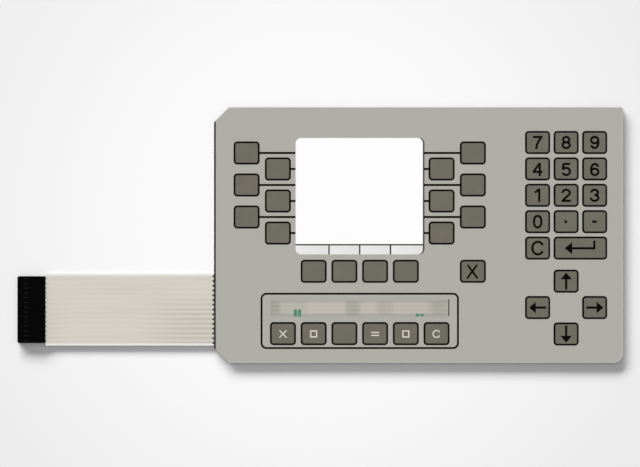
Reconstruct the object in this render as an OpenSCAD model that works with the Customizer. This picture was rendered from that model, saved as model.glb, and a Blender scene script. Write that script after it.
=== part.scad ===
// Membrane keypad: embossed overlay, snap domes, printed circuit film, ribbed tail and 14-way connector.
// Millimetres. The keypad lies face up. The origin is the middle of the panel on its rear face.

/* [Panel] */
// Width of the panel
panel_w = 217; // [190:1:260]
// Height of the panel
panel_h = 136; // [130:1:160]
// Length cut off each corner on the tail side, along both edges
corner_cut = 7; // [2:0.5:12]
// Radius of the upper corner away from the tail
upper_corner_r = 1.2; // [0.5:0.1:6]
// Radius of the lower corner away from the tail
lower_corner_r = 5; // [0.5:0.1:8]

/* [Layers] */
// Thickness of the foam adhesive on the back
foam_t = 1.1; // [0.8:0.05:2]
// Thickness of the circuit film
circuit_t = 0.2; // [0.1:0.01:0.3]
// Thickness of the spacer round the domes
spacer_t = 0.4; // [0.3:0.01:0.6]
// Thickness of the adhesive under the overlay
adhesive_t = 0.13; // [0.05:0.01:0.3]
// Thickness of the overlay film
film_t = 0.25; // [0.15:0.01:0.4]
// Thickness of a coat of ink on the overlay
ink_t = 0.03; // [0.01:0.005:0.06]
// Width of the spacer that stands out past the overlay on the tail side
strip_w = 1; // [0.3:0.1:2]

/* [Keys] */
// Width of a key beside, under or below the display
soft_key_w = 13.9; // [12:0.1:15]
// Width of a number or arrow key
pad_key_w = 13.4; // [12:0.1:14.5]
// Height of every key
key_h = 12.35; // [11.5:0.1:13.5]
// Corner radius of a key's outline
key_r = 2; // [1.6:0.1:3]
// Width of the printed lines
line_w = 0.88; // [0.5:0.02:1]
// Height of the embossed key above the overlay
emboss_h = 0.3; // [0.15:0.05:0.5]
// Width of the sloping edge of an embossed key
emboss_slope = 0.45; // [0.2:0.05:0.6]

/* [Key places] */
// Room between the panel's tail edge and the side keys (rooms share out a change of the panel's size)
left_room = 9.47; // [4:0.01:14]
// Room between the side keys and the number keys
middle_room = 20.83; // [10:0.01:30]
// Room between the number keys and the panel's far edge
right_room = 8.5; // [4:0.01:14]
// Gap between the window and the inner side keys
soft_inner = 2.45; // [2.3:0.05:5]
// Gap between the columns of side keys
soft_outer = 2.75; // [1:0.05:6]
// First side keys from the top of the window
soft_from_top = 8.05; // [6:0.05:10]
// Spacing of the side keys in one column
soft_pitch = 17.06; // [15:0.01:19]
// Spacing of the keys under the display and in the frame
menu_pitch = 16.36; // [15:0.01:19]
// Gap between the window and the keys under it
menu_gap = 2.8; // [2.3:0.05:5]
// Room between the keys under the window and the frame
frame_room = 5.35; // [2:0.05:10]
// Room between the frame and the panel's bottom edge
foot_room = 7.4; // [3:0.05:12]
// Room between the panel's top edge and the number keys
pad_top_room = 12.5; // [6:0.01:20]
// Room between the number keys and the arrow keys
arrow_room = 5.28; // [2:0.01:12]
// Room between the arrow keys and the panel's bottom edge
pad_foot_room = 9.16; // [4:0.01:16]
// Spacing of the number and arrow keys across
pad_pitch_x = 15.2; // [14:0.05:17]
// Spacing of the number and arrow keys down
pad_pitch_y = 14.06; // [13:0.02:15.4]

/* [Display window] */
// Width of the window
window_w = 68.4; // [50:0.1:85]
// Height of the window
window_h = 62.1; // [54:0.1:75]
// Room between the panel's top edge and the window
window_from_top = 16.2; // [8:0.1:24]
// Corner radius of the window
window_r = 2.9; // [1:0.1:5]
// Height of the row of label cells at the foot of the window
label_row_h = 5.15; // [4:0.05:8]
// Width of the lines between the label cells
rule_w = 0.75; // [0.3:0.05:1]
// Overlap of the pane behind the overlay
window_lap = 2.2; // [1.6:0.1:2.5]
// Rim of the spacer, film and foam round the window, set back from its edge
window_setback = 1.2; // [0.6:0.1:1.4]

/* [Key frame] */
// Frame beyond the end keys in it, to its outside
frame_side = 4.9; // [2:0.05:8]
// Frame above the keys in it, to its outside
frame_head = 15.5; // [12:0.05:20]
// Frame below the keys in it, to its outside
frame_foot = 1.95; // [1.4:0.05:4]
// Corner radius of the frame
frame_r = 3.1; // [1:0.1:5]

/* [Domes and contacts] */
// Diameter of a snap dome
dome_d = 10; // [8:0.1:10.4]
// Height of a snap dome
dome_h = 0.45; // [0.3:0.01:0.55]
// Thickness of a snap dome
dome_t = 0.1; // [0.05:0.01:0.15]
// Gap round a dome in the spacer
dome_gap = 0.3; // [0.1:0.05:0.5]
// Width of the contact ring under a dome's rim
ring_w = 0.9; // [0.4:0.05:1.5]
// Diameter of the middle contact
dot_d = 3; // [1:0.1:5]
// Thickness of the printed contacts
pad_t = 0.02; // [0.01:0.005:0.05]
// Width of the air channels between the domes
vent_w = 1; // [0.5:0.1:2]
// Longest air channel, from one dome's middle to the next
vent_reach = 21; // [20:0.1:22]

/* [Tail] */
// Side of the tail above the cut corner of the panel
tail_from_corner = 1.1; // [0.2:0.1:20]
// Width of the tail's film beyond the outer rib on each side
tail_side = 1.79; // [1.5:0.01:4]
// Length of the tail, from the spacer's edge to the connector
tail_l = 89.8; // [60:0.1:150]
// Bare margin of the film along each side of the cover
tail_margin = 1.2; // [0.6:0.1:1.5]
// Thickness of the cover film between the ribs
cover_t = 0.08; // [0.05:0.01:0.12]
// Bare film between the cover and the connector
cover_gap = 0.6; // [0.2:0.1:2]
// Height of a rib above the film
rib_h = 0.2; // [0.19:0.01:0.32]
// Width of a rib at the film
rib_w = 1.8; // [1.7:0.05:2.2]
// Width of a conductor
conductor_w = 1; // [0.8:0.05:1.1]
// Thickness of a conductor
conductor_t = 0.08; // [0.05:0.01:0.12]
// Length of a conductor inside the panel
conductor_entry = 6; // [2:0.5:10]
// Length of the spacer's teeth between the ribs
tooth_l = 1.1; // [0.4:0.1:2]
// Width of a tooth at its root
tooth_w = 1.5; // [0.6:0.1:2.2]

/* [Connector] */
// Number of ways
ways = 14; // [10:1:14]
// Spacing of the ways
way_pitch = 2.54; // [2.5:0.01:2.6]
// Length of the housing along the tail
housing_l = 14.8; // [13:0.1:20]
// Height of the housing
housing_h = 2.5; // [2.3:0.05:4]
// Radius of the housing's front corners
housing_r = 0.8; // [0.2:0.1:1.2]
// Thickness of the housing's front wall
housing_front = 0.8; // [0.5:0.1:1.5]
// Side of the square opening for a pin
pin_hole = 0.95; // [0.8:0.05:1]
// Outside of a box contact, across and up
contact_box = 1.2; // [1.1:0.05:1.3]
// Length of a box contact's socket
socket_l = 6.5; // [5:0.1:7]
// Length of the contact's blade on the conductor
blade_l = 5.5; // [3:0.1:6]
// Thickness of the contact's sheet
contact_t = 0.2; // [0.15:0.01:0.22]
// Length of the slot in the housing's top over each contact
latch_l = 2.1; // [1:0.1:3]
// Width of the slot in the housing's top over each contact
latch_w = 0.6; // [0.4:0.1:1.2]
// Front of the slot in the housing's top from the housing's front
latch_from_front = 3.2; // [2:0.1:4]
// Clearance round a piece in its seat
fit = 0.08; // [0.04:0.01:0.12]

/* [Hidden] */
$fn = 64;

// Edges of the panel
left_x = -panel_w / 2;
top_y = panel_h / 2;
strip_x = left_x - strip_w;

// Heights of the layers, from the back up
circuit_z = foam_t;
spacer_z = circuit_z + circuit_t;
adhesive_z = spacer_z + spacer_t;
film_z = adhesive_z + adhesive_t;
face_z = film_z + film_t;

// Overlap by which a cut runs past a face
past = 0.1;

// Counts of keys
soft_rows = 3;
menu_count = 4;
number_rows = 4;
function_count = 6;

// Columns of the panel: the display field with its side keys, and the number and arrow keys
soft_inner_x = window_w / 2 + soft_inner + soft_key_w / 2;
soft_outer_x = soft_inner_x + soft_outer + soft_key_w;
field_w = 2 * soft_outer_x + soft_key_w;
pad_w = 2 * pad_pitch_x + pad_key_w;
spread_x = (panel_w - field_w - pad_w) / (left_room + middle_room + right_room);
field_x = left_x + spread_x * left_room + field_w / 2;
pad_x = panel_w / 2 - spread_x * right_room - pad_w / 2;

// Rows of the display field: the window with the keys under it, and the frame with its keys
frame_w = (function_count - 1) * menu_pitch + soft_key_w + 2 * frame_side;
frame_h = frame_head + key_h + frame_foot;
field_h = window_h + menu_gap + key_h + frame_h;
field_spread = (panel_h - field_h) / (window_from_top + frame_room + foot_room);
window_y = top_y - field_spread * window_from_top - window_h / 2;
soft_y = window_y + window_h / 2 - soft_from_top;
menu_y = window_y - window_h / 2 - menu_gap - key_h / 2;
frame_y = frame_h / 2 + field_spread * foot_room - top_y;
function_y = frame_y - frame_h / 2 + frame_foot + key_h / 2;

// Rows of the number keys and of the arrow keys
number_h = number_rows * pad_pitch_y + key_h;
arrow_h = 2 * pad_pitch_y + key_h;
pad_spread = (panel_h - number_h - arrow_h) / (pad_top_room + arrow_room + pad_foot_room);
pad_y = top_y - pad_spread * pad_top_room - key_h / 2;
arrow_y = arrow_h / 2 + pad_spread * pad_foot_room - top_y;

// Tail: its width comes from the ribs, and it leaves the straight edge above the cut corner
tail_w = (ways - 1) * way_pitch + rib_w + 2 * tail_side;
tail_y = corner_cut + strip_w + tail_from_corner + tail_w / 2 - top_y;
rib_r = (pow(rib_w / 2, 2) + pow(rib_h, 2)) / (2 * rib_h);
function rib_z(aside) = sqrt(pow(rib_r, 2) - pow(aside, 2)) - rib_r + rib_h;

// Each key is its middle and its width: [x, y, width]
function side_keys(side) = [
    for (i = [0 : soft_rows - 1])
        each [
            [field_x + side * soft_outer_x, soft_y - i * soft_pitch, soft_key_w],
            [field_x + side * soft_inner_x, soft_y - (i + 0.5) * soft_pitch, soft_key_w]
        ]
];
function row_keys(count, y) = [
    for (i = [0 : count - 1])
        [field_x + (i - (count - 1) / 2) * menu_pitch, y, soft_key_w]
];
function pad_key(column, y, extra = 0) = [pad_x + column * pad_pitch_x, y, pad_key_w + extra];

left_keys = side_keys(-1);
right_keys = side_keys(1);
menu_keys = row_keys(menu_count, menu_y);
exit_keys = [[field_x + soft_outer_x, menu_y, soft_key_w]];
last_row_y = pad_y - number_rows * pad_pitch_y;
number_keys = concat(
    [for (r = [0 : number_rows]) pad_key(-1, pad_y - r * pad_pitch_y)],
    [for (c = [0 : 1], r = [0 : number_rows - 1]) pad_key(c, pad_y - r * pad_pitch_y)],
    [pad_key(0.5, last_row_y, pad_pitch_x)]
);
arrow_keys = [
    pad_key(0, arrow_y + pad_pitch_y),
    pad_key(-1, arrow_y),
    pad_key(1, arrow_y),
    pad_key(0, arrow_y - pad_pitch_y)
];
function_keys = row_keys(function_count, function_y);
fields = [left_keys, right_keys, menu_keys, exit_keys, number_keys, arrow_keys, function_keys];
keys = [for (field = fields) each field];

// Connector: the housing's far end and the heights of what lies in it
housing_w = ways * way_pitch;
housing_x = strip_x - tail_l;
front_x = housing_x - housing_l;
conductor_z = spacer_z;
blade_z = conductor_z + conductor_t;
contact_z = blade_z + contact_t - contact_box;
socket_x = front_x + housing_front;
blade_x = socket_x + socket_l;
neck_w = (ways - 1) * way_pitch + conductor_w + 2 * contact_t;
neck_x = blade_x + fit;
way_y = [for (i = [0 : ways - 1]) tail_y + (i - (ways - 1) / 2) * way_pitch];
gap_y = [for (i = [0 : ways]) tail_y + (i - ways / 2) * way_pitch];

// Rectangle with round corners, about the origin
module round_rect(w, h, r) {
    square([w - 2 * r, h], center = true);
    square([w, h - 2 * r], center = true);
    for (x = [-1, 1], y = [-1, 1])
        translate([x * (w / 2 - r), y * (h / 2 - r)])
            circle(r);
}

// What is taken off a square corner to leave an arc of radius r.
// The corner is at the origin and points to +x, +y.
module corner_waste(r) {
    difference() {
        translate([-r, -r])
            square(r + past);
        translate([-r, -r])
            circle(r);
    }
}

// Outline of the panel, grown on the tail side by extra
module panel_outline(extra = 0) {
    right_x = panel_w / 2;
    edge_x = left_x - extra;
    cut = corner_cut + extra;
    difference() {
        polygon([
            [edge_x, top_y - cut], [edge_x + cut, top_y], [right_x, top_y],
            [right_x, -top_y], [edge_x + cut, -top_y], [edge_x, cut - top_y]
        ]);
        translate([right_x, top_y])
            corner_waste(upper_corner_r);
        translate([right_x, -top_y])
            mirror([0, 1])
                corner_waste(lower_corner_r);
    }
}

// Outline of the display window, grown by extra on every side
module window_outline(extra = 0) {
    translate([field_x, window_y])
        round_rect(window_w + 2 * extra, window_h + 2 * extra, window_r + extra);
}

// Solid form of one embossed key on its foot, with a skirt that goes down into what it stands on
module emboss(w, skirt) {
    h = key_h;
    r = key_r;
    function section(half) = [
        [-half, -skirt], [half, -skirt], [half, 0], [half - emboss_slope, emboss_h],
        [emboss_slope - half, emboss_h], [-half, 0]
    ];
    rotate([90, 0, 0])
        linear_extrude(h - 2 * r, center = true)
            polygon(section(w / 2));
    rotate([90, 0, 90])
        linear_extrude(w - 2 * r, center = true)
            polygon(section(h / 2));
    for (x = [-1, 1], y = [-1, 1])
        translate([x * (w / 2 - r), y * (h / 2 - r), 0]) {
            cylinder(h = emboss_h, r1 = r, r2 = r - emboss_slope);
            translate([0, 0, -skirt])
                cylinder(h = skirt, r = r);
        }
}

module overlay_film() {
    color([0.68, 0.68, 0.65])
        difference() {
            union() {
                translate([0, 0, film_z])
                    linear_extrude(film_t)
                        difference() {
                            panel_outline();
                            window_outline();
                        }
                for (k = keys)
                    translate([k[0], k[1], face_z])
                        emboss(k[2], film_t / 2);
            }
            for (k = keys)
                translate([k[0], k[1], film_z])
                    emboss(k[2], past);
        }
}

// Field of a key inside its printed outline
module key_field(key_w) {
    round_rect(key_w - 2 * line_w, key_h - 2 * line_w, key_r - line_w);
}

module key_print() {
    color([0.44, 0.43, 0.38])
        for (k = keys)
            translate([k[0], k[1], face_z + emboss_h])
                linear_extrude(ink_t)
                    key_field(k[2]);
}

// Line from a side key to the edge of the window
module leader(key) {
    side = sign(key[0] - field_x);
    from_key = key[0] - side * (key[2] / 2 - ink_t);
    to_window = field_x + side * window_w / 2;
    translate([min(from_key, to_window), key[1] - line_w / 2])
        square([abs(from_key - to_window), line_w]);
}

// Lines that lie flat on the overlay
module flat_lines() {
    for (k = concat(left_keys, right_keys))
        leader(k);
    translate([field_x, frame_y])
        difference() {
            round_rect(frame_w, frame_h, frame_r);
            round_rect(frame_w - 2 * line_w, frame_h - 2 * line_w, frame_r - line_w);
        }
}

// Flat lines, and the outline of each key, which climbs the sloping edge of the emboss
module line_print() {
    color([0.06, 0.06, 0.05])
        translate([0, 0, face_z])
            difference() {
                union() {
                    linear_extrude(ink_t)
                        flat_lines();
                    for (k = keys)
                        translate([k[0], k[1], ink_t])
                            emboss(k[2], ink_t);
                }
                for (k = keys)
                    translate([k[0], k[1], 0]) {
                        emboss(k[2], past);
                        linear_extrude(emboss_h + 2 * ink_t)
                            key_field(k[2]);
                    }
            }
}

module display_window() {
    color([0.97, 0.97, 0.97])
        translate([0, 0, adhesive_z])
            linear_extrude(adhesive_t)
                window_outline(window_lap);
}

module window_rules() {
    foot_y = window_y - window_h / 2;
    color([0.06, 0.06, 0.05])
        translate([0, 0, film_z])
            linear_extrude(ink_t) {
                translate([field_x - window_w / 2, foot_y + label_row_h - rule_w / 2])
                    square([window_w, rule_w]);
                for (i = [1 : menu_count - 1])
                    translate([field_x + (i - menu_count / 2) * menu_pitch - rule_w / 2, foot_y])
                        square([rule_w, label_row_h]);
            }
}

module overlay_adhesive() {
    color([0.85, 0.84, 0.78])
        translate([0, 0, adhesive_z])
            linear_extrude(adhesive_t)
                difference() {
                    panel_outline();
                    window_outline(window_lap + fit);
                    for (k = keys)
                        translate([k[0], k[1]])
                            round_rect(k[2] - line_w, key_h - line_w, key_r - line_w / 2);
                }
}

// Straight air channel between two domes that are near enough
module vent(a, b) {
    run = [b[0] - a[0], b[1] - a[1]];
    if (norm(run) < vent_reach)
        translate([(a[0] + b[0]) / 2, (a[1] + b[1]) / 2])
            rotate(atan2(run[1], run[0]))
                square([norm(run), vent_w], center = true);
}

module spacer_plate() {
    linear_extrude(spacer_t)
        difference() {
            panel_outline(strip_w);
            window_outline(window_setback);
            for (k = keys)
                translate([k[0], k[1]])
                    circle(dome_d / 2 + dome_gap);
            for (field = fields, i = [1 : 1 : len(field) - 1])
                vent(field[i - 1], field[i]);
        }
}

// Pointed teeth that lie over the valleys between the ribs where the tail leaves the panel
module spacer_teeth() {
    half = tooth_w / 2;
    under = max(cover_t, rib_z(way_pitch / 2 - half)) + fit;
    for (y = gap_y)
        translate([strip_x, y, under])
            linear_extrude(spacer_t - under)
                polygon([[past, -half], [0, -half], [-tooth_l, 0], [0, half], [past, half]]);
}

module spacer() {
    groove_w = conductor_w + 2 * fit;
    color([0.27, 0.27, 0.26])
        translate([0, 0, spacer_z])
            difference() {
                union() {
                    spacer_plate();
                    spacer_teeth();
                }
                for (y = way_y)
                    translate([strip_x - past, y - groove_w / 2, -past])
                        cube([conductor_entry + past + fit, groove_w, conductor_t + fit + past]);
            }
}

// Snap domes under the given keys: each is a shallow spherical cap of thin sheet
module domes(under) {
    ball_r = (pow(dome_d / 2, 2) + pow(dome_h, 2)) / (2 * dome_h);
    color([0.75, 0.75, 0.76])
        for (k = under)
            translate([k[0], k[1], spacer_z + pad_t])
                rotate_extrude()
                    intersection() {
                        translate([0, dome_h - ball_r])
                            difference() {
                                circle(ball_r, $fn = 720);
                                circle(ball_r - dome_t, $fn = 720);
                            }
                        square([dome_d / 2, dome_h]);
                    }
}

module left_softkey_domes() domes(left_keys);
module right_softkey_domes() domes(right_keys);
module menu_domes() domes(menu_keys);
module exit_dome() domes(exit_keys);
module number_domes() domes(number_keys);
module arrow_domes() domes(arrow_keys);
module function_domes() domes(function_keys);

module contact_pads() {
    color([0.62, 0.62, 0.6])
        for (k = keys)
            translate([k[0], k[1], spacer_z])
                linear_extrude(pad_t) {
                    circle(d = dot_d);
                    difference() {
                        circle(d = dome_d);
                        circle(d = dome_d - 2 * ring_w);
                    }
                }
}

// Tongue of the circuit film, with the narrower neck that goes into the connector
module tongue() {
    neck_l = housing_x - neck_x;
    half = tail_w / 2;
    neck_half = neck_w / 2;
    translate([housing_x, tail_y])
        polygon([
            [-neck_l, -neck_half], [0, -neck_half], [0, -half], [tail_l + strip_w, -half],
            [tail_l + strip_w, half], [0, half], [0, neck_half], [-neck_l, neck_half]
        ]);
}

module circuit_film() {
    color([0.9, 0.88, 0.82])
        translate([0, 0, circuit_z]) {
            linear_extrude(circuit_t)
                difference() {
                    panel_outline(strip_w);
                    window_outline(window_setback);
                }
            linear_extrude(circuit_t)
                tongue();
        }
}

module tail_conductors() {
    color([0.72, 0.45, 0.3])
        for (y = way_y)
            translate([neck_x, y - conductor_w / 2, conductor_z])
                cube([strip_x + conductor_entry - neck_x, conductor_w, conductor_t]);
}

// Cross-section of the tail's cover: a flat sheet with a low round rib over each conductor
module cover_section() {
    sheet_w = tail_w - 2 * tail_margin;
    difference() {
        union() {
            translate([-sheet_w / 2, 0])
                square([sheet_w, cover_t]);
            intersection() {
                for (y = way_y)
                    translate([y - tail_y, rib_h - rib_r])
                        circle(rib_r);
                translate([-sheet_w / 2, 0])
                    square([sheet_w, rib_h + past]);
            }
        }
        for (y = way_y)
            translate([y - tail_y - conductor_w / 2, -past])
                square([conductor_w, conductor_t + past]);
    }
}

module tail_cover() {
    color([0.82, 0.8, 0.76])
        translate([housing_x + cover_gap, tail_y, conductor_z])
            rotate([90, 0, 90])
                linear_extrude(tail_l - cover_gap)
                    cover_section();
}

module rear_foam() {
    color([0.3, 0.3, 0.3])
        linear_extrude(foam_t)
            difference() {
                panel_outline();
                window_outline(window_setback);
            }
}

// Block of the housing, with round corners at the front
module housing_block() {
    linear_extrude(housing_h) {
        translate([front_x + housing_r, tail_y - housing_w / 2])
            square([housing_l - housing_r, housing_w]);
        translate([front_x, tail_y - housing_w / 2 + housing_r])
            square([housing_r + past, housing_w - 2 * housing_r]);
        for (side = [-1, 1])
            translate([front_x + housing_r, tail_y + side * (housing_w / 2 - housing_r)])
                circle(housing_r);
    }
}

module connector_housing() {
    tunnel = contact_box + 2 * fit;
    slot_z = circuit_z - fit;
    slot_h = blade_z + contact_t + fit - slot_z;
    color([0.05, 0.05, 0.05])
        difference() {
            housing_block();
            translate([neck_x - fit, tail_y - neck_w / 2 - fit, slot_z])
                cube([housing_x - neck_x + fit + past, neck_w + 2 * fit, slot_h]);
            for (y = way_y) {
                translate([socket_x - fit, y - tunnel / 2, contact_z - fit])
                    cube([socket_l + 2 * fit + past, tunnel, tunnel]);
                translate([front_x - past, y - pin_hole / 2, contact_z + (contact_box - pin_hole) / 2])
                    cube([housing_front + 2 * past, pin_hole, pin_hole]);
                translate([front_x + latch_from_front, y - latch_w / 2, blade_z])
                    cube([latch_l, latch_w, housing_h]);
            }
        }
}

// One contact: a square box that takes a pin, and a blade that presses on the conductor
module contact() {
    inside = contact_box - 2 * contact_t;
    difference() {
        translate([0, -contact_box / 2, 0])
            cube([socket_l, contact_box, contact_box]);
        translate([-past, -inside / 2, contact_t])
            cube([socket_l + 2 * past, inside, inside]);
    }
    translate([socket_l - contact_t, -conductor_w / 2, contact_box - contact_t])
        cube([blade_l + contact_t, conductor_w, contact_t]);
}

module connector_contacts() {
    color([0.8, 0.68, 0.4])
        for (y = way_y)
            translate([socket_x, y, contact_z])
                contact();
}

overlay_film();
key_print();
line_print();
display_window();
window_rules();
overlay_adhesive();
spacer();
left_softkey_domes();
right_softkey_domes();
menu_domes();
exit_dome();
number_domes();
arrow_domes();
function_domes();
contact_pads();
circuit_film();
tail_conductors();
tail_cover();
rear_foam();
connector_housing();
connector_contacts();
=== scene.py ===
"""Looks of the membrane keypad: finishes, printed legends, floor, light and camera round the frame."""
import math

import bmesh
import bpy
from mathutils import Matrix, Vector
from mathutils.geometry import delaunay_2d_cdt


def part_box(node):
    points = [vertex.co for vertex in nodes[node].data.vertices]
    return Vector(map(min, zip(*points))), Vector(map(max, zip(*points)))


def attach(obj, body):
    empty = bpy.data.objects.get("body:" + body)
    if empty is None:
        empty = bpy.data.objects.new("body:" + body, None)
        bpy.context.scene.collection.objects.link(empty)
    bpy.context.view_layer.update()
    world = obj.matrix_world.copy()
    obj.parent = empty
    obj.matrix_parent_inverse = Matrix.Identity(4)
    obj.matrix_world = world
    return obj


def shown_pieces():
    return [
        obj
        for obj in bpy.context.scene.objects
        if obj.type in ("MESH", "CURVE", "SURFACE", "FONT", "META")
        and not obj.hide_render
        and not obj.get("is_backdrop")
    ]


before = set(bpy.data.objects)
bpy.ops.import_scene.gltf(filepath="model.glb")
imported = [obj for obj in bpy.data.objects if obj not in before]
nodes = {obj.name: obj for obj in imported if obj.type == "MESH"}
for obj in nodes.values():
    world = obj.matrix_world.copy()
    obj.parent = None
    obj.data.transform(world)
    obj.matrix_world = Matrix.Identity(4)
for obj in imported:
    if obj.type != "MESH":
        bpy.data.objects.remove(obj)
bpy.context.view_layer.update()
MM = 0.001


# Layout in millimetres, worked out from the boxes of the nodes
def corners(name):
    return [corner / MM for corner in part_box(name)]


def middle(name):
    low, high = corners(name)
    return (low + high) / 2


def span(name):
    low, high = corners(name)
    return high - low


WAYS = 14
PAD_COLUMNS, PAD_LINES = 3, 5
FUNCTION_KEYS = 6
SIDE_ROWS = 6
LABEL_CELLS = 4
SOFT_KEY_W = 13.9
WINDOW_R = 2.9
RULE_W = 0.75
DOME_D = span("function_domes").y
PAD = middle("number_domes")
PAD_PITCH_X = (span("number_domes").x - DOME_D) / (PAD_COLUMNS - 1)
PAD_PITCH_Y = (span("number_domes").y - DOME_D) / (PAD_LINES - 1)
ARROWS = middle("arrow_domes")
EXIT_KEY = middle("exit_dome")
FUNCTIONS = middle("function_domes")
FUNCTION_PITCH = (span("function_domes").x - DOME_D) / (FUNCTION_KEYS - 1)
TAIL_LOW, TAIL_HIGH = corners("tail_cover")
WAY_PITCH = span("connector_housing").y / WAYS
PANEL_LOW, PANEL_HIGH = corners("overlay_film")
RULES_LOW, RULES_HIGH = corners("window_rules")
PANE_LOW, PANE_HIGH = corners("display_window")
WINDOW_LEFT, WINDOW_RIGHT, WINDOW_FOOT = RULES_LOW.x, RULES_HIGH.x, RULES_LOW.y
WINDOW_HEAD = PANE_HIGH.y - (RULES_LOW.x - PANE_LOW.x)
LABELS_HEAD = RULES_HIGH.y - RULE_W / 2

# Heights in millimetres: key tops, printed face, pane, and a coat of ink that is added here
KEY_TOP = corners("key_print")[1].z
FACE = corners("line_print")[0].z
PANE = PANE_HIGH.z
COAT = 0.018
SUNK = 0.003

# Shader building blocks, with the range in which most of a noise lies
NOISE_ROUGH = 0.55
NOISE_LOW, NOISE_HIGH = 0.3, 0.7


def coordinates(tree, stretch=(1, 1, 1)):
    """Object coordinates in metres, stretched for streaks."""
    place = tree.nodes.new("ShaderNodeTexCoord")
    mapping = tree.nodes.new("ShaderNodeMapping")
    mapping.inputs["Scale"].default_value = stretch
    tree.links.new(place.outputs["Object"], mapping.inputs["Vector"])
    return mapping.outputs["Vector"]


def axes(tree):
    """Object coordinates x and y in metres."""
    split = tree.nodes.new("ShaderNodeSeparateXYZ")
    tree.links.new(coordinates(tree), split.inputs["Vector"])
    return split.outputs["X"], split.outputs["Y"]


def noise(tree, vector, scale, detail=4.0):
    made = tree.nodes.new("ShaderNodeTexNoise")
    made.inputs["Scale"].default_value = scale
    made.inputs["Detail"].default_value = detail
    made.inputs["Roughness"].default_value = NOISE_ROUGH
    tree.links.new(vector, made.inputs["Vector"])
    return made.outputs["Fac"]


def remap(tree, value, low, high, to_low, to_high, smooth=False, clamp=True):
    made = tree.nodes.new("ShaderNodeMapRange")
    made.clamp = clamp
    if smooth:
        made.interpolation_type = "SMOOTHSTEP"
    made.inputs["From Min"].default_value = low
    made.inputs["From Max"].default_value = high
    made.inputs["To Min"].default_value = to_low
    made.inputs["To Max"].default_value = to_high
    tree.links.new(value, made.inputs["Value"])
    return made.outputs["Result"]


def ramp(tree, value, stops):
    """Colour at value, between stops of (place, colour)."""
    made = tree.nodes.new("ShaderNodeValToRGB")
    first, last = made.color_ramp.elements
    first.position, first.color = stops[0][0], (*stops[0][1], 1)
    last.position, last.color = stops[-1][0], (*stops[-1][1], 1)
    for place, colour in stops[1:-1]:
        made.color_ramp.elements.new(place).color = (*colour, 1)
    tree.links.new(value, made.inputs["Fac"])
    return made.outputs["Color"]


def calculate(tree, a, b, operation="ADD"):
    made = tree.nodes.new("ShaderNodeMath")
    made.operation = operation
    tree.links.new(a, made.inputs[0])
    tree.links.new(b, made.inputs[1])
    return made.outputs[0]


def blend(tree, factor, tint, colour):
    """The tint where the factor is 0, the colour where it is 1."""
    made = tree.nodes.new("ShaderNodeMix")
    made.data_type = "RGBA"
    tint_socket, colour_socket = made.inputs[6], made.inputs[7]
    tree.links.new(factor, made.inputs[0])
    tree.links.new(tint, tint_socket)
    colour_socket.default_value = (*colour, 1)
    return made.outputs[2]


def shade(colour, factor):
    return tuple(min(1.0, c * factor) for c in colour)


def surface(name, colour, spread=0.05, grain=220.0, rough=0.5, rough_spread=0.08, fine=3500.0, bump=0.25,
            depth=0.02, metallic=0.0, specular=0.5, stretch=(1, 1, 1), paint=None):
    """Mottled colour with a painted pattern or painted light and shade, and roughness and bump of a fine
    grain, depth in millimetres.
    """
    made = bpy.data.materials.new(name)
    made.use_nodes = True
    tree = made.node_tree
    bsdf = tree.nodes["Principled BSDF"]
    place = coordinates(tree, stretch)
    grit = noise(tree, place, fine, detail=2.0)
    stops = [(NOISE_LOW, shade(colour, 1 - spread)), (NOISE_HIGH, shade(colour, 1 + spread))]
    tint = ramp(tree, noise(tree, place, grain), stops)
    if paint:
        tint = paint(tree, tint)
    tree.links.new(tint, bsdf.inputs["Base Color"])
    roughness = remap(tree, grit, NOISE_LOW, NOISE_HIGH, rough - rough_spread, rough + rough_spread)
    tree.links.new(roughness, bsdf.inputs["Roughness"])
    relief = tree.nodes.new("ShaderNodeBump")
    relief.inputs["Strength"].default_value = bump
    relief.inputs["Distance"].default_value = depth * MM
    tree.links.new(grit, relief.inputs["Height"])
    tree.links.new(relief.outputs["Normal"], bsdf.inputs["Normal"])
    bsdf.inputs["Metallic"].default_value = metallic
    bsdf.inputs["Specular IOR Level"].default_value = specular
    return made


# Painted highlight along the rim of the film, sizes in millimetres
RIM_W, RIM_R, RIM_SOFT = 0.5, 5.0, 0.15
RIM_HIGHLIGHT_COLOUR = (0.5, 0.493, 0.455)


def painted_edge_highlight(tree, tint):
    """Painted highlight along the film's right and lower sides and round the corner between them, where its
    cut edge catches the light.
    """
    x, y = axes(tree)
    place = tree.nodes.new("ShaderNodeCombineXYZ")
    right = remap(tree, x, (PANEL_HIGH.x - RIM_R) * MM, PANEL_HIGH.x * MM, 0, RIM_R)
    down = remap(tree, y, PANEL_LOW.y * MM, (PANEL_LOW.y + RIM_R) * MM, RIM_R, 0)
    tree.links.new(right, place.inputs["X"])
    tree.links.new(down, place.inputs["Y"])
    reach = tree.nodes.new("ShaderNodeVectorMath")
    reach.operation = "LENGTH"
    tree.links.new(place.outputs["Vector"], reach.inputs[0])
    rim = RIM_R - RIM_W
    edge = remap(tree, reach.outputs["Value"], rim - RIM_SOFT, rim + RIM_SOFT, 0, 1, smooth=True)
    return blend(tree, edge, tint, RIM_HIGHLIGHT_COLOUR)


# Painted shade in the valleys of the tail: their half widths in ways, and the stretches in millimetres over
# which it shows
HALF_WAY = 0.5
VALLEY_FLOOR, VALLEY_TOP = 0.2, 0.4
NEAR_START, NEAR_FULL = 48, 10
LOW_FULL, LOW_END = 12, 5
FAR_LENGTH, FAR_SHARE = 16, 0.4
VALLEY_SHADE_COLOUR = (0.557, 0.531, 0.467)


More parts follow.
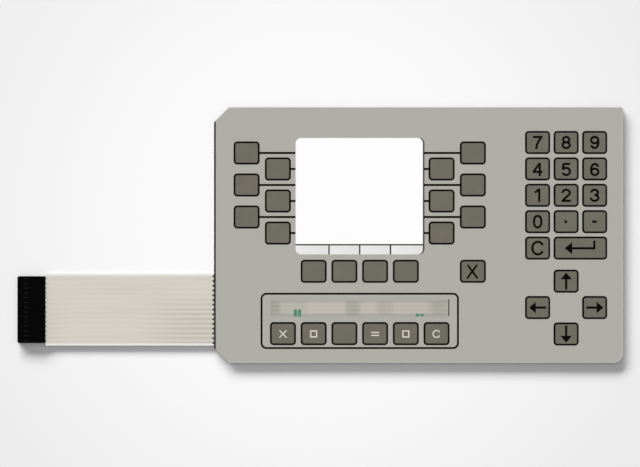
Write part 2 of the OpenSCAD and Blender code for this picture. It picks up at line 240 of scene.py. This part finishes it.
def painted_valley_shade(tree, tint):
    """Painted shade: greyer valleys between the ribs of the tail, near the panel and at the lower side."""
    x, y = axes(tree)
    tail_y = (TAIL_LOW.y + TAIL_HIGH.y) / 2
    way = tree.nodes.new("ShaderNodeMath")
    way.operation = "PINGPONG"
    turns = remap(tree, y, tail_y * MM, (tail_y + WAY_PITCH) * MM, WAYS, WAYS + 1, clamp=False)
    tree.links.new(turns, way.inputs[0])
    way.inputs[1].default_value = HALF_WAY
    valley = remap(tree, way.outputs[0], VALLEY_FLOOR, VALLEY_TOP, 1, 0, smooth=True)
    near_start, near_full = (TAIL_HIGH.x - NEAR_START) * MM, (TAIL_HIGH.x - NEAR_FULL) * MM
    near = remap(tree, x, near_start, near_full, 0, 1, smooth=True)
    low_full, low_end = (TAIL_LOW.y + LOW_FULL) * MM, (TAIL_HIGH.y - LOW_END) * MM
    low = remap(tree, y, low_full, low_end, 1, 0, smooth=True)
    far = remap(tree, x, TAIL_LOW.x * MM, (TAIL_LOW.x + FAR_LENGTH) * MM, FAR_SHARE, 0, smooth=True)
    mask = calculate(tree, calculate(tree, near, far), low, "MULTIPLY")
    return blend(tree, calculate(tree, valley, mask, "MULTIPLY"), tint, VALLEY_SHADE_COLOUR)


# Colour that each label cell reaches at its right end
CELL_END_COLOUR = (0.77, 0.775, 0.75)


def cell_fade(tree, tint):
    """Label cells that darken a little from left to right."""
    x, _ = axes(tree)
    cell = tree.nodes.new("ShaderNodeMath")
    cell.operation = "FRACT"
    tree.links.new(remap(tree, x, WINDOW_LEFT * MM, WINDOW_RIGHT * MM, 0, LABEL_CELLS), cell.inputs[0])
    return blend(tree, cell.outputs[0], tint, CELL_END_COLOUR)


# Legend strip: places and widths in millimetres, and pairs of place and level along it
STRIP_LOW, STRIP_HIGH = Vector((-79.6, -43.9)), Vector((14.9, -33.9))
STRIP_ROWS = (-42.2, -35.2)
OUTER_LEVELS = ((0, 0), (0.1, 0.6), (0.4, 0.7), (0.6, 1))
OUTER_LINES = (-35.6, -42.3)
INNER_LINES = (-37.8, -40.0)
ROW_SOFT, LINE_CORE, LINE_SOFT = 1, 0.15, 0.7
LINE_SHARE, SMUDGE_SHARE = 0.52, 0.12
STRIP_PALE, STRIP_DARK = (0.525, 0.497, 0.447), (0.28, 0.272, 0.235)
PALE_ALONG = ((-77, 0), (-73.5, 0.6), (-62, 0.65), (-58.5, 1), (-40.5, 1), (-38, 0.15), (-33.5, 0.15),
              (-30.5, 1), (-24, 1), (-21.5, 0.5), (-16, 0.45), (-13, 0.9), (2.5, 0.9), (7.5, 0.15))
DASH_ALONG = ((-79.6, 0), (-78.8, 1), (-75.2, 1), (-73.5, 0.1), (-40, 0.1), (-38.2, 0.6), (-32.8, 0.6),
              (-30.8, 0.1), (-23.5, 0.1), (-21, 0.4), (-15.5, 0.4), (-13, 0.1), (5.5, 0.15), (9, 0.6),
              (14.2, 0.6), (14.9, 0))


def along(tree, x, levels):
    """Level at x from pairs of place in millimetres and level."""
    start, end = levels[0][0], levels[-1][0]
    stops = [((place - start) / (end - start), (level,) * 3) for place, level in levels]
    return ramp(tree, remap(tree, x, start * MM, end * MM, 0, 1), stops)


def lines(tree, y, places):
    """1 on each of the lines across y, falling softly to 0."""
    total = None
    for place in places:
        away = tree.nodes.new("ShaderNodeMath")
        away.operation = "ABSOLUTE"
        tree.links.new(remap(tree, y, 0, 1, -place * MM, 1 - place * MM, clamp=False), away.inputs[0])
        near = remap(tree, away.outputs[0], LINE_CORE * MM, LINE_SOFT * MM, 1, 0, smooth=True)
        total = calculate(tree, total, near) if total else near
    return total


def strip_rows(tree, tint):
    """Faint grey rows with paler fields between smudged ones, soft at their edges."""
    x, y = axes(tree)
    foot, head = STRIP_ROWS
    rise = remap(tree, y, (foot - ROW_SOFT) * MM, (foot + ROW_SOFT) * MM, 0, 1, smooth=True)
    fall = remap(tree, y, (head - ROW_SOFT) * MM, (head + ROW_SOFT) * MM, 1, 0, smooth=True)
    rows = calculate(tree, rise, fall, "MULTIPLY")
    dashes = along(tree, x, DASH_ALONG)
    pale = calculate(tree, along(tree, x, PALE_ALONG), rows, "MULTIPLY")
    inner = calculate(tree, lines(tree, y, INNER_LINES), dashes, "MULTIPLY")
    level = ramp(tree, dashes, [(place, (share,) * 3) for place, share in OUTER_LEVELS])
    outer = calculate(tree, lines(tree, y, OUTER_LINES), level, "MULTIPLY")
    smudge = remap(tree, calculate(tree, dashes, rows, "MULTIPLY"), 0, 1, 0, SMUDGE_SHARE)
    drawn = remap(tree, calculate(tree, inner, outer, "MAXIMUM"), 0, 1, 0, LINE_SHARE)
    paler = blend(tree, pale, tint, STRIP_PALE)
    return blend(tree, calculate(tree, drawn, smudge), paler, STRIP_DARK)


# Finish of every node and every added print
OVERLAY = (0.436, 0.43, 0.386)
MATERIALS = {
    # The overlay carries a painted highlight along its right and lower edges
    "overlay": surface("overlay", OVERLAY, spread=0.012, grain=60, rough=0.62, fine=5200, bump=0.3,
                       depth=0.012, specular=0.35, paint=painted_edge_highlight),
    "key_ink": surface("key_ink", (0.162, 0.152, 0.122), spread=0.04, grain=140, rough=0.6, fine=5200,
                       bump=0.3, depth=0.012, specular=0.3),
    "line_ink": surface("line_ink", (0.0032, 0.0028, 0.002), spread=0.3, grain=300, rough=0.7, fine=5200,
                        bump=0.2, depth=0.01, specular=0.08),
    "window": surface("window", (0.997, 0.997, 0.995), spread=0.001, grain=40, rough=0.42, rough_spread=0.02,
                      fine=900, bump=0.01, depth=0.01, specular=0.25),
    "rule_ink": surface("rule_ink", (0.018, 0.02, 0.022), spread=0.15, grain=300, rough=0.45, specular=0.3),
    "adhesive": surface("adhesive", (0.66, 0.64, 0.55), grain=500, rough=0.35, specular=0.4),
    "spacer": surface("spacer", (0.04, 0.038, 0.033), spread=0.2, grain=400, rough=0.45, specular=0.4),
    "dome_steel": surface("dome_steel", (0.62, 0.62, 0.61), grain=800, rough=0.24, metallic=1.0),
    "silver_ink": surface("silver_ink", (0.56, 0.56, 0.54), spread=0.08, grain=1500, rough=0.42,
                          metallic=0.8),
    "circuit_film": surface("circuit_film", (0.825, 0.815, 0.785), spread=0.015, grain=90, rough=0.32,
                            fine=1500, bump=0.1, depth=0.01),
    "conductor": surface("conductor", (0.76, 0.73, 0.68), spread=0.06, grain=700, rough=0.5, metallic=0.5,
                         stretch=(0.08, 1, 1)),
    # The tail cover carries painted shade in the valleys between its ribs
    "tail_cover": surface("tail_cover", (0.672, 0.637, 0.571), spread=0.02, grain=160, rough=0.45,
                          rough_spread=0.05, fine=1800, bump=0.12, depth=0.015, specular=0.3,
                          stretch=(0.12, 1, 1), paint=painted_valley_shade),
    "foam": surface("foam", (0.055, 0.055, 0.056), spread=0.3, grain=1600, rough=0.85, fine=2600, bump=0.8,
                    depth=0.12, specular=0.2),
    "housing": surface("housing", (0.001, 0.001, 0.0011), spread=0.3, grain=500, rough=0.4, fine=2600,
                       bump=0.25, depth=0.015, specular=0.3),
    "contact": surface("contact", (0.52, 0.5, 0.46), spread=0.06, grain=900, rough=0.3, metallic=1.0),
    "white_ink": surface("white_ink", (0.7, 0.675, 0.62), grain=600, rough=0.55, specular=0.3),
    "green_ink": surface("green_ink", (0.075, 0.25, 0.145), spread=0.25, grain=1600, rough=0.55,
                         specular=0.25),
    # Grey ink, also used for the painted shadow along the window's right side
    "grey_ink_and_shadow": surface("grey_ink_and_shadow", (0.085, 0.085, 0.078), spread=0.12, grain=900, rough=0.55,
                        specular=0.25),
    "label_ink": surface("label_ink", (0.848, 0.852, 0.832), spread=0.01, grain=300, rough=0.35, fine=500,
                         bump=0.02, depth=0.01, specular=0.3, paint=cell_fade),
    "strip_ink": surface("strip_ink", (0.412, 0.406, 0.36), spread=0.03, grain=160, rough=0.6, bump=0.1,
                         specular=0.35, stretch=(1, 4, 1), paint=strip_rows),
}
NODE_MATERIALS = {
    "overlay_film": "overlay", "key_print": "key_ink", "line_print": "line_ink", "display_window": "window",
    "window_rules": "rule_ink", "overlay_adhesive": "adhesive", "spacer": "spacer",
    "left_softkey_domes": "dome_steel", "right_softkey_domes": "dome_steel", "menu_domes": "dome_steel",
    "exit_dome": "dome_steel", "number_domes": "dome_steel", "arrow_domes": "dome_steel",
    "function_domes": "dome_steel", "contact_pads": "silver_ink", "circuit_film": "circuit_film",
    "tail_conductors": "conductor", "tail_cover": "tail_cover", "rear_foam": "foam",
    "connector_housing": "housing", "connector_contacts": "contact",
}
for node_name, finish_name in NODE_MATERIALS.items():
    slots = nodes[node_name].data.materials
    slots.clear()
    slots.append(MATERIALS[finish_name])

# Printed shapes: lists of outlines in millimetres
CORNER_STEPS = 12
MITRE_LIMIT = 0.35
MERGE_WITHIN = 1e-5


def counter_clockwise(shape):
    area = sum(a[0] * b[1] - b[0] * a[1] for a, b in zip(shape, shape[1:] + shape[:1]))
    return shape if area > 0 else shape[::-1]


def arc(cx, cy, rx, ry, start, end, steps=28):
    """Points of an elliptical arc, angles in degrees."""
    turns = [math.radians(start + (end - start) * i / steps) for i in range(steps + 1)]
    return [(cx + rx * math.cos(t), cy + ry * math.sin(t)) for t in turns]


def ribbon(path, width, closed=False):
    """Quads of a line of that width along the path, with mitred corners."""
    sides = []
    for i, (x, y) in enumerate(path):
        ways = []
        if i or closed:
            ways.append(Vector((x - path[i - 1][0], y - path[i - 1][1])).normalized())
        if i < len(path) - 1 or closed:
            after = path[(i + 1) % len(path)]
            ways.append(Vector((after[0] - x, after[1] - y)).normalized())
        ahead = sum(ways, Vector((0, 0))).normalized()
        across = Vector((-ahead.y, ahead.x))
        reach = width / 2 / max(MITRE_LIMIT, across.dot(Vector((-ways[0].y, ways[0].x))))
        out = across * reach
        sides.append(((x + out.x, y + out.y), (x - out.x, y - out.y)))
    ends = sides[1:] + sides[:1] if closed else sides[1:]
    return [[a[1], b[1], b[0], a[0]] for a, b in zip(sides, ends)]


def bar(x0, y0, x1, y1):
    return [(x0, y0), (x1, y0), (x1, y1), (x0, y1)]


def moved(shapes, x, y):
    return [[(px + x, py + y) for px, py in shape] for shape in shapes]


def turned(shapes, degrees):
    c, s = math.cos(math.radians(degrees)), math.sin(math.radians(degrees))
    return [[(c * px - s * py, s * px + c * py) for px, py in shape] for shape in shapes]


def printed(name, shapes, low, high, finish):
    """One closed thin solid over the union of the shapes, from height low to high, all in millimetres."""
    points, faces = [], []
    for shape in shapes:
        faces.append(list(range(len(points), len(points) + len(shape))))
        points += [Vector(p) for p in counter_clockwise(list(shape))]
    flat, _, cells, _, _, source = delaunay_2d_cdt(points, [], faces, 0, MERGE_WITHIN, True)
    cells = [list(cell) for cell, inside in zip(cells, source) if inside]
    used = sorted({i for cell in cells for i in cell})
    index = {old: new for new, old in enumerate(used)}
    triangles = []
    for a, b, c in cells:
        upward = (flat[b] - flat[a]).cross(flat[c] - flat[a]) > 0
        triangles.append([index[i] for i in ((a, b, c) if upward else (c, b, a))])
    count = len(used)
    verts = [(flat[i].x * MM, flat[i].y * MM, z * MM) for z in (high, low) for i in used]
    edges = {(a, b) for t in triangles for a, b in zip(t, t[1:] + t[:1])}
    rim = sorted((a, b) for a, b in edges if (b, a) not in edges)
    below = [[i + count for i in t[::-1]] for t in triangles]
    walls = [[a + count, b + count, b, a] for a, b in rim]
    mesh = bpy.data.meshes.new(name)
    mesh.from_pydata(verts, [], triangles + below + walls)
    mesh.update()
    mesh.materials.append(MATERIALS[finish])
    piece = bpy.data.objects.new(name, mesh)
    bpy.context.scene.collection.objects.link(piece)
    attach(piece, "root")


# Legends on the keys, each drawn round the middle of its key
STROKE, EXIT_STROKE = 1.2, 1.05
HALF_W, HALF_H = 1.94, 2.94
CAP = HALF_H + STROKE / 2


def line(*path):
    return ribbon(list(path), STROKE)


def curve(cx, cy, rx, ry, start, end, *rest):
    return ribbon(arc(cx, cy, rx, ry, start, end) + list(rest), STROKE)


def ring(cx, cy, rx, ry, power=1.0, steps=48):
    path = []
    for i in range(steps):
        c, s = math.cos(i * math.tau / steps), math.sin(i * math.tau / steps)
        across, up = math.copysign(abs(c) ** power, c), math.copysign(abs(s) ** power, s)
        path.append((cx + rx * across, cy + ry * up))
    return ribbon(path, STROKE, closed=True)


SIX = ring(0.03, -1.27, 1.9, 1.67) + curve(0.12, -0.1, 2.05, 3.04, 30, 205)
GLYPHS = {
    "0": ring(0, 0, HALF_W, HALF_H + 0.12, 0.86),
    "1": line((0.82, CAP), (0.82, -CAP)) + line((0.5, CAP), (0.15, 2.75), (-0.6, 2.0), (-1.6, 1.55)),
    "2": curve(0, 1.33, 1.92, 1.61, 186, -38, (-0.5, -1.45), (-1.7, -2.7))
         + line((-2.5, -HALF_H), (2.5, -HALF_H)),
    "3": curve(-0.05, 1.5, 1.74, 1.44, 184, -95) + curve(-0.05, -1.4, 1.97, 1.54, 95, -186),
    "4": line((1.12, CAP), (1.12, -CAP)) + line((-2.66, -1.3), (2.6, -1.3))
         + line((1.0, 3.1), (-2.2, -1.15)),
    "5": line((-1.5, HALF_H), (2.1, HALF_H)) + line((-1.36, 3.2), (-1.86, -0.1))
         + curve(0.02, -1.06, 1.97, 1.9, 152, -162),
    "6": SIX,
    "7": line((-2.5, HALF_H), (2.53, HALF_H))
         + line((2.15, 3.05), (0.7, 1.1), (-0.4, -1.3), (-0.8, -CAP)),
    "8": ring(0, 1.5, 1.67, 1.44) + ring(0, -1.4, 1.95, 1.54),
    "9": turned(SIX, 180),
    "C": curve(0.1, 0, 2.96, 3.36, 27, 331),
    "X": ribbon([(-2.5, 3.6), (2.78, -3.6)], EXIT_STROKE)
         + ribbon([(2.5, 3.6), (-2.78, -3.6)], EXIT_STROKE),
    "dot": [arc(-0.25, 0, 0.8, 0.8, 0, 345, 23)],
    "dash": [bar(-1.4, -0.62, 1.1, 0.62)],
}
ARROW = [[(4.6, 0), (1.0, 3.05), (1.0, -3.05)], bar(-4.5, -0.6, 1.2, 0.6)]
ENTER = [[(-8.45, -0.1), (-4.4, 3.1), (-4.4, -3.3)], bar(-4.6, -0.7, 7.95, 0.5), bar(6.8, -0.7, 7.95, 4.0)]
PAD_ROWS = (("7", "8", "9"), ("4", "5", "6"), ("1", "2", "3"), ("0", "dot", "dash"))
ROW_SHIFTS = (0, -0.3, 0, 0)
EXIT_SHIFT = (-0.3, -0.2)
ARROW_PLACES = ((90, 0, 1), (180, -1, 0), (0, 1, 0), (-90, 0, -1))

number_legends = []
pad_reach = (PAD_LINES - 1) / 2 * PAD_PITCH_Y
pad_head, pad_foot = PAD.y + pad_reach, PAD.y - pad_reach
for row, (signs, shift) in enumerate(zip(PAD_ROWS, ROW_SHIFTS)):
    for column, sign in enumerate(signs):
        x = PAD.x + (column - (PAD_COLUMNS - 1) / 2) * PAD_PITCH_X
        y = pad_head - row * PAD_PITCH_Y + shift
        number_legends += moved(GLYPHS[sign], x, y)
number_legends += moved(GLYPHS["C"], PAD.x - PAD_PITCH_X, pad_foot)
number_legends += moved(ENTER, PAD.x + PAD_PITCH_X / 2, pad_foot)
arrow_legends = []
for degrees, across, up in ARROW_PLACES:
    place = (ARROWS.x + across * PAD_PITCH_X, ARROWS.y + up * PAD_PITCH_Y)
    arrow_legends += moved(turned(ARROW, degrees), *place)

MARK_W, RING_W, RING_R = 0.58, 0.6, 1.85
BOX_W, BOX_HALF = 0.66, 1.58
CROSS = ribbon([(-1.9, 1.95), (1.9, -1.95)], MARK_W) + ribbon([(1.9, 1.95), (-1.9, -1.95)], MARK_W)
SQUARE = ribbon(bar(-BOX_HALF, -BOX_HALF, BOX_HALF, BOX_HALF), BOX_W, closed=True)
EQUALS = [bar(-2.15, 0.45, 2.15, 1.08), bar(-2.15, -1.08, 2.15, -0.45)]
OPEN_RING = ribbon(arc(0, 0, RING_R, RING_R, 28, 332, 40), RING_W)
MARKS = (CROSS, SQUARE, [], EQUALS, SQUARE, OPEN_RING)
MARK_DROP = 0.15
function_marks = []
for i, mark in enumerate(MARKS):
    place = FUNCTIONS.x + (i - (FUNCTION_KEYS - 1) / 2) * FUNCTION_PITCH
    function_marks += moved(mark, place, FUNCTIONS.y - MARK_DROP)

printed("number_legends", number_legends, KEY_TOP - SUNK, KEY_TOP + COAT, "line_ink")
printed("arrow_legends", arrow_legends, KEY_TOP - SUNK, KEY_TOP + COAT, "line_ink")
exit_legend = moved(GLYPHS["X"], EXIT_KEY.x + EXIT_SHIFT[0], EXIT_KEY.y + EXIT_SHIFT[1])
printed("exit_legend", exit_legend, KEY_TOP - SUNK, KEY_TOP + COAT, "line_ink")
printed("function_marks", function_marks, KEY_TOP - SUNK, KEY_TOP + COAT, "white_ink")

# Second coat on the lines from the side keys to the window, which are wider than the outlines
LEADER_W, LEADER_T = 1.12, 0.034


def leaders(field, side, window_edge):
    """Bars from the keys of a side field to the window, where side is -1 on its left and 1 on its right."""
    low, high = corners(field)
    stagger = (high.x - low.x - DOME_D) / 2
    row_pitch = (high.y - low.y - DOME_D) / (SIDE_ROWS - 1)
    bars = []
    for row in range(SIDE_ROWS):
        outward = -stagger if row % 2 else stagger
        key_edge = (low.x + high.x) / 2 + side * (outward - SOFT_KEY_W / 2)
        start, end = sorted((key_edge, window_edge))
        y = high.y - DOME_D / 2 - row * row_pitch
        bars.append(bar(start, y - LEADER_W / 2, end, y + LEADER_W / 2))
    return bars


leader_lines = leaders("left_softkey_domes", -1, WINDOW_LEFT)
leader_lines += leaders("right_softkey_domes", 1, WINDOW_RIGHT)
printed("leader_lines", leader_lines, FACE - SUNK, FACE + LEADER_T, "line_ink")

# Second coat inside the outlines of the keys, and on the frame round the lower keys
FIELD_R, FRAME_R = 1.12, 3.1
EDGE_IN, EDGE_LAP = 0.12, 0.05
LINE_W, FRAME_LINE_W = 0.88, 1.03
WELD = 1e-6


def rounded(x0, y0, x1, y1, r, inset):
    """Points round a rectangle with corners of radius r, that far inside it."""
    centres = ((x1 - r, y1 - r), (x0 + r, y1 - r), (x0 + r, y0 + r), (x1 - r, y0 + r))
    path = []
    for quarter, (cx, cy) in enumerate(centres):
        path += arc(cx, cy, r - inset, r - inset, 90 * quarter, 90 * quarter + 90, CORNER_STEPS)
    return path


def solids(name):
    """Low x, low y, high x and high y of each separate solid of a node, in millimetres."""
    work = bmesh.new()
    work.from_mesh(nodes[name].data)
    bmesh.ops.remove_doubles(work, verts=work.verts, dist=WELD)
    left = set(work.verts)
    boxes = []
    while left:
        front = [left.pop()]
        places = []
        while front:
            vert = front.pop()
            places.append(vert.co / MM)
            near = {edge.other_vert(vert) for edge in vert.link_edges} & left
            left -= near
            front += near
        xs, ys = [place.x for place in places], [place.y for place in places]
        boxes.append((min(xs), min(ys), max(xs), max(ys)))
    work.free()
    return sorted(boxes)


outline_coats = []
for field in solids("key_print"):
    edge = rounded(*field, FIELD_R, (EDGE_IN - EDGE_LAP) / 2)
    outline_coats += ribbon(edge, EDGE_IN + EDGE_LAP, closed=True)
frame_box = max(solids("line_print"), key=lambda box: box[2] - box[0])
frame_coat = ribbon(rounded(*frame_box, FRAME_R, LINE_W / 2), FRAME_LINE_W, closed=True)
printed("outline_coats", outline_coats, KEY_TOP - SUNK, KEY_TOP + COAT, "line_ink")
printed("frame_coat", frame_coat, FACE - SUNK, FACE + LEADER_T, "line_ink")

# Legend strip in the frame, with its rule and its green marks
STRIP_T = 0.006
GREEN_MARKS = [bar(-66.96, -43.35, -65.2, -39.65), bar(-64.72, -43.35, -63.1, -39.65),
               bar(-1.92, -43.3, -0.1, -41.85), bar(0.48, -43.3, 2.13, -41.85)]
STRIP_RULE = [bar(15.25, -43.15, 15.95, -34.2)]
printed("legend_strip", [bar(*STRIP_LOW, *STRIP_HIGH)], FACE - SUNK, FACE + STRIP_T, "strip_ink")
printed("strip_rule", STRIP_RULE, FACE - SUNK, FACE + COAT, "grey_ink_and_shadow")
printed("green_marks", GREEN_MARKS, FACE + STRIP_T - SUNK, FACE + COAT, "green_ink")

# Label cells of the window, and a painted shadow along its right side, as a dark line on the pane and on the
# film beside it
LABEL_T = 0.006
LINE_INSIDE, LINE_OUTSIDE = 0.6, 0.3
LINE_TURN = 80
corner_y = WINDOW_FOOT + WINDOW_R
label_outline = arc(WINDOW_LEFT + WINDOW_R, corner_y, WINDOW_R, WINDOW_R, 180, 270, CORNER_STEPS)
label_outline += arc(WINDOW_RIGHT - WINDOW_R, corner_y, WINDOW_R, WINDOW_R, 270, 360, CORNER_STEPS)
label_outline += [(WINDOW_RIGHT, LABELS_HEAD), (WINDOW_LEFT, LABELS_HEAD)]
printed("label_cells", [label_outline], PANE - SUNK, PANE + LABEL_T, "label_ink")


def side_shadow(inner, outer):
    """Painted shadow between two sideways shifts of the window's right side, which thins out round its
    corners as the shadow of an edge does.
    """
    sides = []
    for shift in (inner, outer):
        x = WINDOW_RIGHT - WINDOW_R + shift
        low = arc(x, WINDOW_FOOT + WINDOW_R, WINDOW_R, WINDOW_R, -LINE_TURN, 0, CORNER_STEPS)
        high = arc(x, WINDOW_HEAD - WINDOW_R, WINDOW_R, WINDOW_R, 0, LINE_TURN, CORNER_STEPS)
        sides.append(low + high)
    pairs = list(zip(*sides))
    return [[a[0], a[1], b[1], b[0]] for a, b in zip(pairs, pairs[1:])]


edge_shadow = side_shadow(-LINE_INSIDE, 0)
rim_shadow = side_shadow(SUNK, SUNK + LINE_OUTSIDE)
printed("window_edge_shadow", edge_shadow, PANE - SUNK, PANE + COAT, "grey_ink_and_shadow")
printed("window_rim_shadow", rim_shadow, FACE - SUNK, FACE + COAT, "grey_ink_and_shadow")

# Floor with a painted pool of light, in metres
FLOOR_HALF = 6.0
FLOOR_ROUGH = 0.9
FLOOR_MIDDLE = (-0.053, 0.005, 0)
LIT_RADIUS, DIM_RADIUS = 0.07, 0.225
FLOOR_LIT_COLOUR, FLOOR_DIM_COLOUR = (0.975, 0.975, 0.975), (0.862, 0.862, 0.864)


def floor_material():
    """Painted pool of light: pale in the middle, a little greyer towards the sides of the picture."""
    made = bpy.data.materials.new("floor")
    made.use_nodes = True
    tree = made.node_tree
    bsdf = tree.nodes["Principled BSDF"]
    away = tree.nodes.new("ShaderNodeVectorMath")
    away.operation = "DISTANCE"
    away.inputs[1].default_value = FLOOR_MIDDLE
    tree.links.new(coordinates(tree), away.inputs[0])
    fade = remap(tree, away.outputs["Value"], LIT_RADIUS, DIM_RADIUS, 0, 1, smooth=True)
    tree.links.new(ramp(tree, fade, [(0.0, FLOOR_LIT_COLOUR), (1.0, FLOOR_DIM_COLOUR)]), bsdf.inputs["Base Color"])
    bsdf.inputs["Roughness"].default_value = FLOOR_ROUGH
    bsdf.inputs["Specular IOR Level"].default_value = 0.0
    return made


floor_mesh = bpy.data.meshes.new("floor")
floor_corners = bar(-FLOOR_HALF, -FLOOR_HALF, FLOOR_HALF, FLOOR_HALF)
floor_mesh.from_pydata([(x, y, 0) for x, y in floor_corners], [], [(0, 1, 2, 3)])
floor_mesh.materials.append(floor_material())
floor = bpy.data.objects.new("floor", floor_mesh)
bpy.context.scene.collection.objects.link(floor)
floor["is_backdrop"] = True

# World: an even fill, seen as pale walls under a dark ceiling
FILL = 0.36
WALLS, CEILING = 0.9, 0.03
WALL_TOP, CEILING_EDGE = 0.12, 0.75
world = bpy.data.worlds.new("studio")
bpy.context.scene.world = world
world.use_nodes = True
tree = world.node_tree
background = tree.nodes["Background"]
background.inputs["Color"].default_value = (1, 1, 1, 1)
path = tree.nodes.new("ShaderNodeLightPath")
seen = calculate(tree, path.outputs["Is Camera Ray"], path.outputs["Is Glossy Ray"], "MAXIMUM")
seen = calculate(tree, seen, path.outputs["Is Transmission Ray"], "MAXIMUM")
direction = tree.nodes.new("ShaderNodeSeparateXYZ")
tree.links.new(tree.nodes.new("ShaderNodeTexCoord").outputs["Generated"], direction.inputs["Vector"])
strength = tree.nodes.new("ShaderNodeMix")
strength.inputs["A"].default_value = FILL
room = remap(tree, direction.outputs["Z"], WALL_TOP, CEILING_EDGE, WALLS, CEILING, smooth=True)
tree.links.new(room, strength.inputs["B"])
tree.links.new(seen, strength.inputs["Factor"])
tree.links.new(strength.outputs["Result"], background.inputs["Strength"])

# Lamps: a low wide softbox for the floor's shadow and a soft one overhead for the object
LIGHT_ACROSS = Vector((0.42, -0.9))


def place_lamp(lamp, elevation, lit, distance=0.0):
    """Lamp that shines along LIGHT_ACROSS from that elevation, only on the lit objects."""
    travel = Vector((*LIGHT_ACROSS, -math.tan(math.radians(elevation)) * LIGHT_ACROSS.length)).normalized()
    made = bpy.data.objects.new(lamp.name, lamp)
    bpy.context.scene.collection.objects.link(made)
    made.rotation_mode = "QUATERNION"
    made.rotation_quaternion = travel.to_track_quat("-Z", "Y")
    made.location = -travel * distance
    group = bpy.data.collections.new(lamp.name + "_lit")
    for item in lit:
        group.objects.link(item)
    made.light_linking.receiver_collection = group
    made.visible_glossy = False


FLOOR_LEVEL, FLOOR_ELEVATION = 0.61, 15.0
BOX_DISTANCE, BOX_WIDE, BOX_TALL = 20.0, 29.0, 6.0
WIDE_BOX_SHARE = 0.86
softbox = bpy.data.lights.new("floor_light", "AREA")
softbox.shape = "ELLIPSE"
softbox.size = 2 * BOX_DISTANCE * math.tan(math.radians(BOX_WIDE))
softbox.size_y = 2 * BOX_DISTANCE * math.tan(math.radians(BOX_TALL))
small_box_energy = FLOOR_LEVEL * math.pi ** 2 * BOX_DISTANCE ** 2 / math.sin(math.radians(FLOOR_ELEVATION))
softbox.energy = small_box_energy / WIDE_BOX_SHARE
place_lamp(softbox, FLOOR_ELEVATION, [floor], BOX_DISTANCE)

KEY_LEVEL, KEY_ELEVATION, KEY_SOFTNESS = 0.64, 80, 40
overhead = bpy.data.lights.new("key_light", "SUN")
overhead.energy = KEY_LEVEL * math.pi / math.sin(math.radians(KEY_ELEVATION))
overhead.angle = math.radians(KEY_SOFTNESS)
place_lamp(overhead, KEY_ELEVATION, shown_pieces())

# Camera straight above, at the photograph's scale
PIXEL = 0.5327
IMAGE_W = 640
CAMERA_X, CAMERA_Y = -53.0, 0.85
LENS, SENSOR = 100, 36
camera_data = bpy.data.cameras.new("camera")
camera_data.lens = LENS
camera_data.sensor_width = SENSOR
camera = bpy.data.objects.new("camera", camera_data)
bpy.context.scene.collection.objects.link(camera)
camera.location = Vector((CAMERA_X, CAMERA_Y, FACE + IMAGE_W * PIXEL * LENS / SENSOR)) * MM
bpy.context.scene.camera = camera
bpy.context.scene.view_settings.view_transform = "Standard"
